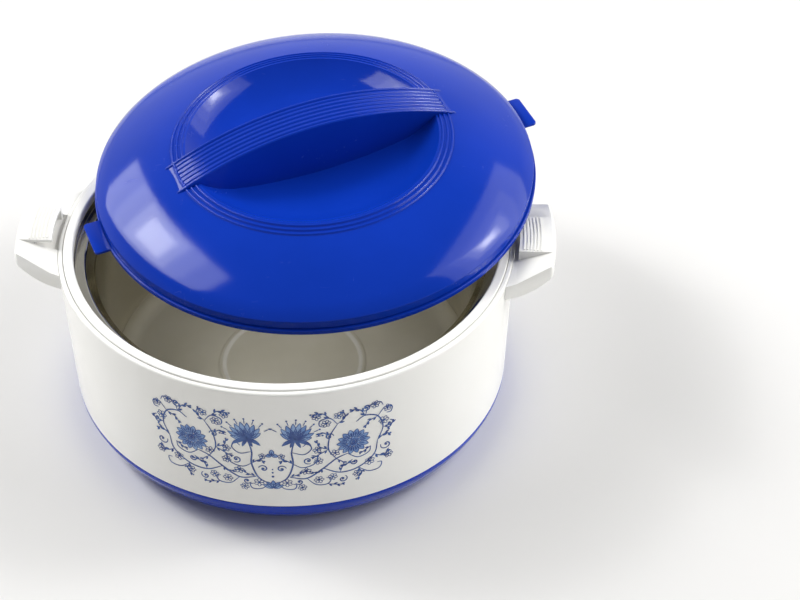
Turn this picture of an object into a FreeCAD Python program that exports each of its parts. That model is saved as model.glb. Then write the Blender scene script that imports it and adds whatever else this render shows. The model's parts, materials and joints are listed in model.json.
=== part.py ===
# Insulated casserole for flat bread: a double-walled pot with two side handles, and a lid that
# lifts off. Two tabs on the lid turn under the ribbed pads of the handles and hold it shut.
#
# Origin: centre of the pot's underside, on the table. +Z is up, the handles lie along X and the
# front of the pot is -Y. Millimetres. The lid is shown taken off and set down askew on the pot.
import FreeCAD, Part
import math
import os
import Sketcher

document = FreeCAD.newDocument("Casserole")

# Driving dimensions.

SIZES = [
    ("wall_radius", 126.8, "outside of the pot's wall at its top"),
    ("wall_draft", 1.8, "how much the wall narrows down to the base"),
    ("shell_wall", 2.5, "plastic wall of the outer shell"),
    ("body_height", 106.3, "table to the flat top of the rim"),
    ("base_height", 20.5, "table to the seam between base and shell"),
    ("base_band", 2.2, "upright band at the top of the base"),
    ("base_foot_inset", 12.7, "foot of the wall in to the ring the base stands on"),
    ("base_foot_width", 6.0, "width of that ring"),
    ("base_curve", 40.0, "curve of the base's side"),
    ("base_recess", 1.2, "table to the underside inside the ring"),
    ("base_wall", 2.5, "plastic wall of the base"),
    ("base_lap", 6.0, "how far the base's spigot reaches into the shell"),
    ("rim_inset", 3.4, "pot's wall in to the collar's visible ring"),
    ("rim_width", 5.0, "width of the collar's visible ring"),
    ("rim_round", 1.2, "rounding of the collar's edges"),
    ("collar_lip", 4.6, "collar top down to the bowl's lip"),
    ("collar_skirt", 6.5, "collar top down to the end of its skirt"),
    ("collar_wall", 2.0, "wall of the collar's skirt"),
    ("shoulder_drop", 1.6, "rim top down to the shell's shoulder"),
    ("shoulder_round", 3.4, "rounding of the shell's shoulder"),
    ("bowl_sheet", 0.8, "steel sheet of the bowl"),
    ("ledge_drop", 9.3, "rim top down to the bowl's ledge"),
    ("ledge_width", 5.8, "mouth of the collar in to the inner edge of the ledge"),
    ("throat_inset", 5.2, "inner edge of the ledge in to the bowl's wall"),
    ("throat_drop", 14.8, "rim top down to the bottom of the throat"),
    ("bowl_draft", 3.9, "how much the bowl's wall narrows down to its corner"),
    ("bowl_corner", 10.0, "radius between the bowl's wall and floor"),
    ("bowl_floor_height", 10.6, "table to the bowl's floor"),
    ("floor_ring_radius", 41.8, "middle of the ring pressed in the floor"),
    ("floor_ring_width", 4.2, "width of that ring"),
    ("floor_ring_rise", 0.9, "height of that ring"),
    ("foam_hole_radius", 8.0, "filling holes for the foam"),
    ("plug_flange", 3.0, "how far a plug's head passes its hole"),
    ("plug_head", 1.0, "thickness of a plug's head"),
    ("handle_rise", 5.3, "rim top up to the top of a handle"),
    ("handle_tip_width", 54.0, "width of a handle at its outer edge"),
    ("handle_root_width", 77.0, "width of a handle at the wall"),
    ("handle_root_depth", 9.6, "depth of a handle's side at the wall"),
    ("handle_tip_depth", 5.4, "depth of a handle's side at its outer edge"),
    ("handle_belly", 30.0, "curve of the lower edge of that side"),
    ("handle_wall", 2.4, "wall of a handle's sides"),
    ("handle_corner", 3.0, "rounding of a handle's outer corners"),
    ("handle_round", 1.2, "rounding of a handle's outer edge"),
    ("flat_drop", 6.8, "handle top down to the inner edge of a flat"),
    ("flat_end", 2.5, "handle's outer edge in to where the flats meet its top"),
    ("pad_length", 31.0, "length of the ribbed pad along the rim"),
    ("pad_inset", 2.6, "pot's wall out to the inner edge of the pad"),
    ("pad_plate", 1.6, "thickness of the pad"),
    ("slot_depth", 10.2, "inner edge of the pad to the back wall of the slot under it"),
    ("slot_backing", 9.9, "that back wall to the outer edge of the handle"),
    ("slot_end_wall", 2.2, "wall that stops the tab in the slot"),
    ("slot_floor_drop", 3.3, "rim top down to the floor of the slot"),
    ("rib_count", 6, "ribs on a pad"),
    ("rib_width", 0.8, "width of a pad's rib"),
    ("rib_rise", 0.5, "height of a pad's rib"),
    ("rib_pitch", 1.9, "step from one rib to the next"),
    ("rib_inset", 2.2, "inner edge of the pad to the first rib"),
    ("flange_inset", 0.6, "pot's wall in to the outside of the lid's flange"),
    ("flange_thick", 3.0, "thickness of the flange"),
    ("tab_length", 26.0, "length of a tab along its outer edge"),
    ("tab_reach", 8.2, "how far a tab stands out of the flange"),
    ("tab_lift", 1.45, "flange underside up to the tab's underside"),
    ("tab_round", 2.0, "rounding of a tab's corners"),
    ("spigot_inset", 6.4, "flange's outside in to the ring that centres the cover"),
    ("spigot_wall", 1.8, "wall of that ring"),
    ("spigot_rise", 4.0, "height of that ring above the flange"),
    ("lid_groove", 0.5, "height of the groove between flange and cover"),
    ("groove_depth", 0.8, "depth of that groove"),
    ("cover_inset", 1.3, "flange's outside in to the side of the lid's cover"),
    ("cover_side", 8.3, "flange underside to the top of the cover's side"),
    ("cover_edge_round", 31.0, "rounding of the cover's edge"),
    ("cover_edge_run", 7.9, "how far that rounding runs inwards"),
    ("cover_edge_rise", 6.0, "how far it rises"),
    ("cover_wall", 2.4, "plastic wall of the cover"),
    ("dish_border", 9.4, "dish's edge out to where the bar runs out on the dome"),
    ("dome_height", 27.8, "flange underside up to the dome there"),
    ("dome_curve", 150.0, "curve of the dome"),
    ("dish_radius", 71.6, "edge of the dish"),
    ("dish_edge_height", 30.0, "flange underside up to the dish's edge"),
    ("dish_knee_inset", 19.2, "dish's edge in to a circle half way down the dish"),
    ("dish_knee_height", 19.0, "flange underside up to that circle"),
    ("dish_side_curve", 48.0, "curve of the dish's side"),
    ("dish_height", 13.6, "flange underside up to the dish's lowest point"),
    ("dish_curve", 240.0, "curve of the dish's floor"),
    ("crown_height", 45.4, "flange underside up to the top of the grip bar"),
    ("bar_width", 23.6, "width of the grip bar across the dish"),
    ("bar_rib_count", 8, "ribs along the bar"),
    ("bar_rib_width", 0.9, "width of a rib on the bar"),
    ("bar_rib_rise", 0.6, "height of a rib on the bar"),
    ("bar_edge_width", 1.7, "width of the two outer ribs"),
    ("bar_edge_rise", 1.0, "height of the two outer ribs"),
    ("bar_edge_run", 3.0, "how far the outer ribs pass the rings"),
    ("ring_count", 3, "raised rings round the dish"),
    ("ring_inset", 1.2, "bar's end in to the outside of the outermost ring"),
    ("ring_width", 1.3, "width of such a ring"),
    ("ring_rise", 0.7, "height of such a ring"),
    ("ring_pitch", 2.7, "step from one ring to the next"),
    ("liner_wall", 2.4, "plastic wall of the lid's liner"),
    ("liner_inset", 14.2, "flange's outside in to the liner's side below it"),
    ("liner_side_depth", 2.8, "depth of that side"),
    ("liner_pan_radius", 70.0, "flat middle of the liner"),
    ("liner_pan_depth", 10.8, "flange underside down to that flat"),
    ("liner_lip", 1.5, "thickness of the lip the liner hangs by"),
    ("seal_inset", 8.2, "flange's outside in to the outside of the silicone seal"),
    ("seal_thick", 1.2, "thickness of the seal"),
    ("fit", 0.3, "gap between pieces that stay apart"),
    ("seat", 0.1, "gap between pieces that are fastened together"),
    ("lid_offset", 48.52, "how far the lid lies off the pot's axis"),
    ("lid_bearing", 74.56, "direction of that offset, degrees from +X"),
    ("lid_tilt", 4.69, "tilt of the lid in degrees"),
    ("lid_tilt_bearing", 61.41, "direction in which the lid rises"),
    ("lid_rise", 6.14, "rim top up to the middle of the flange's underside"),
    ("lid_spin", 24.1, "degrees from the handles to the lid's tabs"),
]

sheet = document.addObject("Spreadsheet::Sheet", "Sizes")
for row, (alias, number, meaning) in enumerate(SIZES, start=1):
    sheet.set("A%d" % row, alias)
    sheet.set("B%d" % row, str(number))
    sheet.set("C%d" % row, meaning)
    sheet.setAlias("B%d" % row, alias)
document.recompute()


class Size:
    """A length: its value now, and the formula that ties it to the sheet."""

    def __init__(self, value, formula):
        self.value = float(value)
        self.formula = formula

    def __add__(self, other):
        other = as_size(other)
        return Size(self.value + other.value, "(%s + %s)" % (self.formula, other.formula))

    def __sub__(self, other):
        other = as_size(other)
        return Size(self.value - other.value, "(%s - %s)" % (self.formula, other.formula))

    def __mul__(self, other):
        other = as_size(other)
        return Size(self.value * other.value, "(%s * %s)" % (self.formula, other.formula))

    def __truediv__(self, other):
        other = as_size(other)
        return Size(self.value / other.value, "(%s / %s)" % (self.formula, other.formula))

    def __radd__(self, other):
        return as_size(other) + self

    def __rsub__(self, other):
        return as_size(other) - self

    def __rmul__(self, other):
        return as_size(other) * self

    def __neg__(self):
        return self * -1

    def root(self):
        return Size(math.sqrt(self.value), "sqrt(%s)" % self.formula)


def as_size(number):
    """A plain number as a Size; a Size as it is."""
    return number if isinstance(number, Size) else Size(number, repr(float(number)))


class Named:
    """The sizes of the sheet by name."""


size = Named()
for alias, number, meaning in SIZES:
    setattr(size, alias, Size(sheet.get(alias), "Sizes." + alias))
ZERO = as_size(0)


def bind(thing, name, length):
    """Tie one property of an object to a size."""
    thing.setExpression(name, as_size(length).formula)


# Outlines. A corner is (across, up), both of them sizes. The edge that leaves a corner is
# straight, or an arc where bends gives its radius: above zero it bulges to the left of the way
# to the next corner, below zero to the right.


def new_body(name):
    """An empty body with its label."""
    piece = document.addObject("PartDesign::Body", name)
    piece.Label = name
    return piece


def origin_feature(piece, role):
    """One of a body's own origin planes or axes."""
    for feature in piece.Origin.OriginFeatures:
        if feature.Role == role:
            return feature
    raise ValueError(role)


def new_sketch(piece, name, role, lift=None):
    """An empty sketch on a plane of its body, moved along the plane's normal by lift."""
    sketch = piece.newObject("Sketcher::SketchObject", name)
    sketch.AttachmentSupport = [(origin_feature(piece, role), "")]
    sketch.MapMode = "FlatFace"
    if lift is not None:
        bind(sketch, "AttachmentOffset.Base.z", lift)
    return sketch


def arc_between(start, end, radius):
    """The shorter arc from start to end: a radius above zero bulges to the left."""
    chord = end - start
    half = chord.Length / 2
    left = FreeCAD.Vector(-chord.y, chord.x, 0).normalize()
    side = 1 if radius > 0 else -1
    sagitta = abs(radius) - math.sqrt(radius * radius - half * half)
    middle = (start + end) * 0.5 + left * (side * sagitta)
    return Part.Arc(start, middle, end)


def near_end(sketch, edge, point):
    """1 or 2: the end of a sketch's edge that lies at a point."""
    first = (sketch.getPoint(edge, 1) - point).Length
    second = (sketch.getPoint(edge, 2) - point).Length
    return 1 if first <= second else 2


def draw(sketch, corners, bends=None):
    """One closed outline, every corner and radius tied to sizes."""
    bends = {index: as_size(radius) for index, radius in (bends or {}).items()}
    corners = [(as_size(across), as_size(up)) for across, up in corners]
    points = [FreeCAD.Vector(across.value, up.value, 0) for across, up in corners]
    count = len(points)
    first = sketch.GeometryCount
    for index, start in enumerate(points):
        end = points[(index + 1) % count]
        if index in bends:
            sketch.addGeometry(arc_between(start, end, bends[index].value), False)
        else:
            sketch.addGeometry(Part.LineSegment(start, end), False)
    for index, (across, up) in enumerate(corners):
        edge = first + index
        before = first + (index - 1) % count
        here = near_end(sketch, edge, points[index])
        there = near_end(sketch, before, points[index])
        sketch.addConstraint(Sketcher.Constraint("Coincident", before, there, edge, here))
        for kind, length in (("DistanceX", across), ("DistanceY", up)):
            rule = Sketcher.Constraint(kind, -1, 1, edge, here, length.value)
            place = sketch.addConstraint(rule)
            sketch.setExpression("Constraints[%d]" % place, length.formula)
    for index, radius in bends.items():
        rule = Sketcher.Constraint("Radius", first + index, abs(radius.value))
        place = sketch.addConstraint(rule)
        sketch.setExpression("Constraints[%d]" % place, "abs(%s)" % radius.formula)


def turned(piece, name, outlines, cut=False, sweep=360):
    """Turn outlines, drawn as (radius, height), round Z; sweep is centred on the XZ plane."""
    sketch = new_sketch(piece, name + "_outline", "XZ_Plane")
    for corners, bends in outlines:
        draw(sketch, corners, bends)
    kind = "PartDesign::Groove" if cut else "PartDesign::Revolution"
    feature = piece.newObject(kind, name)
    feature.Profile = sketch
    feature.ReferenceAxis = (sketch, ["V_Axis"])
    feature.Midplane = True
    bind(feature, "Angle", sweep)
    sketch.Visibility = False
    return feature


def across_y(piece, name, corners, bends, width, cut=False, lift=None):
    """Extrude an outline, drawn as (x, z), to both sides of its plane by half of width."""
    sketch = new_sketch(piece, name + "_outline", "XZ_Plane", lift)
    draw(sketch, corners, bends)
    feature = piece.newObject("PartDesign::Pocket" if cut else "PartDesign::Pad", name)
    feature.Profile = sketch
    feature.Midplane = True
    bind(feature, "Length", width)
    return feature


def upwards(piece, name, corners, bends, bottom, top, cut=False):
    """Extrude an outline, drawn as (x, y), from one height to another."""
    sketch = new_sketch(piece, name + "_outline", "XY_Plane", bottom)
    draw(sketch, corners, bends)
    feature = piece.newObject("PartDesign::Pocket" if cut else "PartDesign::Pad", name)
    feature.Profile = sketch
    feature.Reversed = cut
    bind(feature, "Length", top - bottom)
    return feature


def cuts(piece, *features):
    """Stop if a cut of a body took nothing away."""
    document.recompute()
    for feature in features:
        before = feature.BaseFeature.Shape.Volume
        if feature.Shape.Volume > before - 1:
            raise RuntimeError("%s of %s cuts nothing" % (feature.Name, piece.Label))


def rounded(piece, name, base, radius, chosen):
    """Round the edges of a feature that the test chosen picks."""
    document.recompute()
    names = ["Edge%d" % (index + 1) for index, edge in enumerate(base.Shape.Edges) if chosen(edge)]
    if not names:
        raise RuntimeError("no edge to round for " + name)
    feature = piece.newObject("PartDesign::Fillet", name)
    feature.Base = (base, names)
    bind(feature, "Radius", radius)
    return feature


def circle_edge(radius, height):
    """A test for the arcs round Z of one radius at one height."""

    def chosen(edge):
        if edge.Curve.TypeId != "Part::GeomCircle":
            return False
        box = edge.BoundBox
        flat = box.ZLength < 0.01 and abs(box.ZMin - height.value) < 0.01
        return flat and abs(edge.Curve.Radius - radius.value) < 0.01

    return chosen


def upright_edge(reach):
    """A test for upright straight edges further from Z than reach."""

    def chosen(edge):
        if edge.Curve.TypeId != "Part::GeomLine" or edge.BoundBox.ZLength < edge.Length - 0.01:
            return False
        point = edge.Vertexes[0].Point
        return math.hypot(point.x, point.y) > reach.value

    return chosen


# Pot.

wall_foot_radius = size.wall_radius - size.wall_draft
shell_top = size.body_height - size.shoulder_drop
shell_inside = size.wall_radius - size.shell_wall
shell_foot_inside = wall_foot_radius - size.shell_wall
spigot_outside = shell_foot_inside - size.seat
spigot_inside = spigot_outside - size.base_wall
lip_height = size.body_height - size.collar_lip - size.seat
rim_outer = size.wall_radius - size.rim_inset
rim_inner = rim_outer - size.rim_width
mouth_radius = rim_inner + size.seat
collar_foot = size.body_height - size.collar_skirt
collar_outside = shell_inside - size.seat
lip_radius = collar_outside - size.collar_wall - size.seat
base_floor = size.base_recess + size.base_wall
ledge_height = size.body_height - size.ledge_drop
throat_height = size.body_height - size.throat_drop
ledge_radius = rim_inner - size.ledge_width
throat_radius = ledge_radius - size.throat_inset
bowl_foot = throat_radius - size.bowl_draft
base_foot = wall_foot_radius - size.base_foot_inset
pad_radius = size.wall_radius + size.pad_inset
slot_radius = pad_radius + size.slot_depth
handle_reach = slot_radius + size.slot_backing


def make_outer_shell():
    """White outer wall, a slightly tapering tube with a rounded shoulder."""
    piece = new_body("outer_shell")
    shelf = collar_foot - size.seat
    corners = [
        (wall_foot_radius, size.base_height),
        (size.wall_radius, shell_top - size.shoulder_round),
        (shell_inside, shell_top),
        (shell_inside, shelf),
        (shell_inside - size.collar_wall, shelf),
        (shell_inside - size.collar_wall, shelf - size.collar_wall),
        (shell_inside, shelf - size.collar_wall * 2),
        (shell_foot_inside, size.base_height),
    ]
    turned(piece, "shell_wall", [(corners, {1: -size.shoulder_round})])
    return piece


def make_rim_collar():
    """White ring that clamps the bowl's lip and forms the pot's mouth."""
    piece = new_body("rim_collar")
    under = size.body_height - size.collar_lip
    corners = [
        (rim_inner, under),
        (collar_outside - size.collar_wall, under),
        (collar_outside - size.collar_wall, collar_foot),
        (collar_outside, collar_foot),
        (collar_outside, under),
        (rim_outer, under),
        (rim_outer, size.body_height),
        (rim_inner, size.body_height),
    ]
    ring = turned(piece, "collar_ring", [(corners, None)])
    outer = circle_edge(rim_outer, size.body_height)
    inner = circle_edge(rim_inner, size.body_height)
    rounded(piece, "collar_edges", ring, size.rim_round, lambda edge: outer(edge) or inner(edge))
    return piece


def make_base_cup():
    """Blue base: a shallow cup with a standing ring, pushed into the foot of the shell."""
    piece = new_body("base_cup")
    hole = size.foam_hole_radius
    foot_inside = base_foot - size.base_foot_width
    top = size.base_height - size.seat
    corners = [
        (hole, size.base_recess),
        (foot_inside, size.base_recess),
        (foot_inside, ZERO),
        (base_foot, ZERO),
        (wall_foot_radius, size.base_height - size.base_band),
        (wall_foot_radius, top),
        (spigot_outside, top),
        (spigot_outside, size.base_height + size.base_lap),
        (spigot_inside, size.base_height + size.base_lap),
        (spigot_inside, size.base_height - size.base_band),
        (base_foot - size.base_wall, base_floor),
        (hole, base_floor),
    ]
    bends = {3: -size.base_curve, 9: size.base_curve}
    turned(piece, "cup_wall", [(corners, bends)])
    return piece


def bowl_outline(outset):
    """The bowl's wall from the floor's middle to the throat, moved outwards by outset."""
    floor = size.bowl_floor_height - outset
    corner_height = size.bowl_floor_height + size.bowl_corner
    return [
        (bowl_foot - size.bowl_corner, floor),
        (bowl_foot + outset, corner_height),
        (throat_radius + outset, throat_height),
    ]


def make_inner_bowl():
    """Steel bowl, pressed from one sheet: floor with a ring, tapering wall, ledge and lip."""
    piece = new_body("inner_bowl")
    sheet_wall = size.bowl_sheet
    floor = size.bowl_floor_height
    ring_in = size.floor_ring_radius - size.floor_ring_width / 2
    ring_out = size.floor_ring_radius + size.floor_ring_width / 2
    slope = size.floor_ring_rise
    ring = [
        (ZERO, floor),
        (ring_in, floor),
        (ring_in + slope, floor + size.floor_ring_rise),
        (ring_out - slope, floor + size.floor_ring_rise),
        (ring_out, floor),
    ]
    inside = ring + bowl_outline(ZERO) + [
        (ledge_radius, ledge_height),
        (mouth_radius, ledge_height),
        (mouth_radius, lip_height),
        (lip_radius, lip_height),
        (lip_radius, lip_height - sheet_wall),
        (mouth_radius + sheet_wall, lip_height - sheet_wall),
        (mouth_radius + sheet_wall, ledge_height - sheet_wall),
        (ledge_radius + sheet_wall / 2, ledge_height - sheet_wall),
    ]
    outside = list(reversed(bowl_outline(sheet_wall))) + [
        (ring_out, floor - sheet_wall),
        (ring_out - slope, floor + size.floor_ring_rise - sheet_wall),
        (ring_in + slope, floor + size.floor_ring_rise - sheet_wall),
        (ring_in, floor - sheet_wall),
        (ZERO, floor - sheet_wall),
    ]
    inner_corner = len(ring)
    outer_corner = len(inside) + 1
    bends = {inner_corner: -size.bowl_corner, outer_corner: size.bowl_corner + sheet_wall}
    turned(piece, "bowl_sheet", [(inside + outside, bends)])
    return piece


def make_body_insulation():
    """Foam that fills the space between bowl, base and shell."""
    piece = new_body("body_insulation")
    bowl_gap = size.bowl_sheet + size.fit
    above_lap = size.base_height + size.base_lap + size.fit
    inner = list(reversed(bowl_outline(bowl_gap)))
    outer = [
        (ZERO, base_floor + size.fit),
        (base_foot - size.base_wall * 2, base_floor + size.fit),
        (spigot_inside - size.fit, size.base_height),
        (spigot_inside - size.fit, above_lap),
        (shell_foot_inside - size.fit, above_lap),
        (shell_inside - size.fit * 2, throat_height),
    ]
    corners = outer + inner + [(ZERO, size.bowl_floor_height - bowl_gap)]
    turned(piece, "foam_ring", [(corners, {len(outer) + 1: size.bowl_corner + bowl_gap})])
    return piece


def make_plug(name, underside, wall):
    """Plug pushed from below into a hole that the foam is filled through."""
    piece = new_body(name)
    head_radius = size.foam_hole_radius + size.plug_flange
    stem_radius = size.foam_hole_radius - size.seat
    face = underside - size.seat
    corners = [
        (ZERO, face - size.plug_head),
        (head_radius, face - size.plug_head),
        (head_radius, face),
        (stem_radius, face),
        (stem_radius, underside + wall),
        (ZERO, underside + wall),
    ]
    turned(piece, "plug_body", [(corners, None)])
    return piece


def make_handle(name):
    """White side handle. Two flats run down to the rim on both sides of a ribbed pad, and a
    slot under the pad takes a tab of the lid from one end."""
    piece = new_body(name)
    root_x = size.wall_radius - size.handle_wall * 3
    half_tip = size.handle_tip_width / 2
    half_root = size.handle_root_width / 2
    tip_x = (handle_reach * handle_reach - half_tip * half_tip).root()
    top = size.body_height + size.handle_rise
    flat_foot = top - size.flat_drop
    root_bottom = flat_foot - size.handle_root_depth
    tip_bottom = top - size.handle_tip_depth
    beyond = handle_reach + size.handle_wall
    margin = size.handle_wall
    width = size.handle_root_width + margin * 2
    slot_floor = size.body_height - size.slot_floor_drop
    flat_end = handle_reach - size.flat_end
    half_pad = size.pad_length / 2

    plan = [(root_x, -half_root), (tip_x, -half_tip), (tip_x, half_tip), (root_x, half_root)]
    upwards(piece, "outline", plan, {1: -handle_reach}, root_bottom, top)
    belly = [
        (root_x - margin, root_bottom - margin),
        (beyond, root_bottom - margin),
        (beyond, tip_bottom),
        (handle_reach, tip_bottom),
        (size.wall_radius, root_bottom),
        (root_x - margin, root_bottom),
    ]
    underside = across_y(piece, "underside", belly, {3: size.handle_belly}, width, cut=True)
    slope = [
        (root_x - margin, flat_foot),
        (size.wall_radius, flat_foot),
        (flat_end, top),
        (flat_end, top + margin),
        (root_x - margin, top + margin),
    ]
    flats = across_y(piece, "flats", slope, None, width, cut=True)
    block = [
        (root_x, slot_floor - margin),
        (flat_end, slot_floor - margin),
        (flat_end, top),
        (root_x, top),
    ]
    across_y(piece, "pad_block", block, None, size.pad_length)
    hollow = [
        (root_x - margin, root_bottom - margin),
        (handle_reach - size.handle_wall * 1.5, root_bottom - margin),
        (handle_reach - size.handle_wall * 1.5, top - size.handle_wall * 2),
        (slot_radius + size.handle_wall, top - size.handle_wall * 2),
        (slot_radius + size.handle_wall, slot_floor - size.handle_wall),
        (root_x - margin, slot_floor - size.handle_wall),
    ]
    hollow_width = size.handle_tip_width - size.handle_wall * 2
    hollowed = across_y(piece, "hollow", hollow, None, hollow_width, cut=True)

    def sector(reach, near_y, far_y):
        """Corners of the area inside a circle of radius reach, from one y to another."""
        return [
            (root_x - margin, near_y),
            ((reach * reach - near_y * near_y).root(), near_y),
            ((reach * reach - far_y * far_y).root(), far_y),
            (root_x - margin, far_y),
        ]

    stop = size.slot_end_wall - half_pad
    pocket = upwards(
        piece, "pocket", sector(pad_radius, -half_pad, half_pad),
        {1: -pad_radius}, slot_floor, top + margin, cut=True)
    slot = upwards(
        piece, "slot", sector(slot_radius, stop, half_pad),
        {1: -slot_radius}, slot_floor, top - size.pad_plate, cut=True)
    seat_radius = size.wall_radius + size.seat
    half_cut = half_root + margin
    cut_x = (seat_radius * seat_radius - half_cut * half_cut).root()
    wall_side = [
        (root_x - margin * 3, -width),
        (cut_x, -half_cut),
        (cut_x, half_cut),
        (root_x - margin * 3, width),
    ]
    root_cut = upwards(
        piece, "wall_side", wall_side, {1: -seat_radius}, root_bottom - margin, top + margin,
        cut=True)
    cuts(piece, underside, flats, hollowed, pocket, slot, root_cut)

    ribs = []
    for index in range(int(size.rib_count.value)):
        near = pad_radius + size.rib_inset + size.rib_pitch * index
        rib = [
            (near, top - size.rib_rise),
            (near + size.rib_width, top - size.rib_rise),
            (near + size.rib_width, top + size.rib_rise),
            (near, top + size.rib_rise),
        ]
        ribs.append((rib, None))
    span = (size.pad_length - size.rib_width * 2) / slot_radius * math.degrees(1)
    last = turned(piece, "pad_ribs", ribs, sweep=span)
    rounded(
        piece, "corners", last, size.handle_corner,
        upright_edge(handle_reach - size.handle_round))
    edge_cut = [
        (handle_reach - size.handle_round, top),
        (handle_reach, top - size.handle_round),
        (beyond, top - size.handle_round),
        (beyond, top + margin),
        (handle_reach - size.handle_round, top + margin),
    ]
    outer_edge = turned(
        piece, "outer_edge", [(edge_cut, {0: -size.handle_round})], cut=True, sweep=90)
    cuts(piece, outer_edge)
    return piece


# Lid. It is drawn level round its own axis, with the flange's underside at 0 and the tabs on X.

flange_radius = size.wall_radius - size.flange_inset
spigot_radius = flange_radius - size.spigot_inset
cover_radius = flange_radius - size.cover_inset
groove_radius = cover_radius - size.groove_depth
liner_side = flange_radius - size.liner_inset
seal_radius = flange_radius - size.seal_inset
dome_radius = size.dish_radius + size.dish_border
knee_radius = size.dish_radius - size.dish_knee_inset
ring_outer = dome_radius - size.ring_inset


def liner_outline(lift):
    """Underside of the liner, from its middle out to its side, moved up by lift."""
    return [
        (size.foam_hole_radius, lift - size.liner_pan_depth),
        (size.liner_pan_radius, lift - size.liner_pan_depth),
        (liner_side - lift, lift - size.liner_side_depth),
    ]


def make_lid_liner():
    """White underside of the lid: a shallow pan that hangs by its lip on the flange."""
    piece = new_body("lid_liner")
    lip_foot = size.flange_thick + size.seat
    lip_outside = spigot_radius - size.spigot_wall - size.fit
    corners = liner_outline(ZERO) + [
        (liner_side, lip_foot),
        (lip_outside, lip_foot),
        (lip_outside, lip_foot + size.liner_lip),
        (liner_side - size.liner_wall, lip_foot + size.liner_lip),
    ] + list(reversed(liner_outline(size.liner_wall)))
    turned(piece, "pan", [(corners, None)])
    return piece


def make_lid_flange():
    """Blue ring round the liner, with the two tabs and a low wall that centres the cover."""
    piece = new_body("lid_flange")
    top = size.flange_thick
    hole = liner_side + size.seat
    corners = [
        (hole, ZERO),
        (flange_radius, ZERO),
        (flange_radius, top),
        (spigot_radius, top),
        (spigot_radius, top + size.spigot_rise),
        (spigot_radius - size.spigot_wall, top + size.spigot_rise),
        (spigot_radius - size.spigot_wall, top),
        (hole, top),
    ]
    turned(piece, "ring", [(corners, None)])
    inner = flange_radius - size.tab_lift
    outer = flange_radius + size.tab_reach
    tabs = []
    for side in (1, -1):
        tab = [
            (inner * side, size.tab_lift),
            (outer * side, size.tab_lift),
            (outer * side, top),
            (inner * side, top),
        ]
        tabs.append((tab, None))
    span = size.tab_length / outer * math.degrees(1)
    pair = turned(piece, "tabs", tabs, sweep=span)
    rounded(piece, "tab_corners", pair, size.tab_round, upright_edge(outer - size.tab_lift))
    return piece


def dome_outline(inset):
    """The cover's surface from the top of its side to the dish's middle, moved in by inset.

    Returns its corners and, for each corner, the radius of the arc that leaves it."""
    edge_top = size.cover_side + size.cover_edge_rise
    corners = [
        (cover_radius - inset, size.cover_side),
        (cover_radius - size.cover_edge_run - inset / 2, edge_top - inset),
        (dome_radius, size.dome_height - inset),
        (size.dish_radius, size.dish_edge_height - inset),
        (knee_radius, size.dish_knee_height - inset),
        (ZERO, size.dish_height - inset),
    ]
    arcs = {
        0: -size.cover_edge_round,
        1: -size.dome_curve,
        3: size.dish_side_curve,
        4: size.dish_curve,
    }
    return corners, arcs


def bar_outline(inset, foot):
    """The grip bar's arch over the dish, moved in by inset, down to the height foot."""
    rise = size.crown_height - size.dome_height
    arch = (dome_radius * dome_radius + rise * rise) / (rise * 2)
    end_x = dome_radius - inset
    drop = arch - (arch * arch - end_x * end_x).root()
    end_z = size.crown_height - drop - inset
    corners = [(-end_x, foot), (-end_x, end_z), (end_x, end_z), (end_x, foot)]
    return corners, {1: arch}


def arch_band(reach, rise):
    """A thin band that follows the bar's arch out to reach and stands rise above it."""
    height = size.crown_height - size.dome_height
    arch = (dome_radius * dome_radius + height * height) / (height * 2)
    end_z = size.crown_height - (arch - (arch * arch - reach * reach).root())
    corners = [
        (-reach, end_z - rise),
        (-reach, end_z + rise),
        (reach, end_z + rise),
        (reach, end_z - rise),
    ]
    return corners, {1: arch, 3: -arch}


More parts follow.
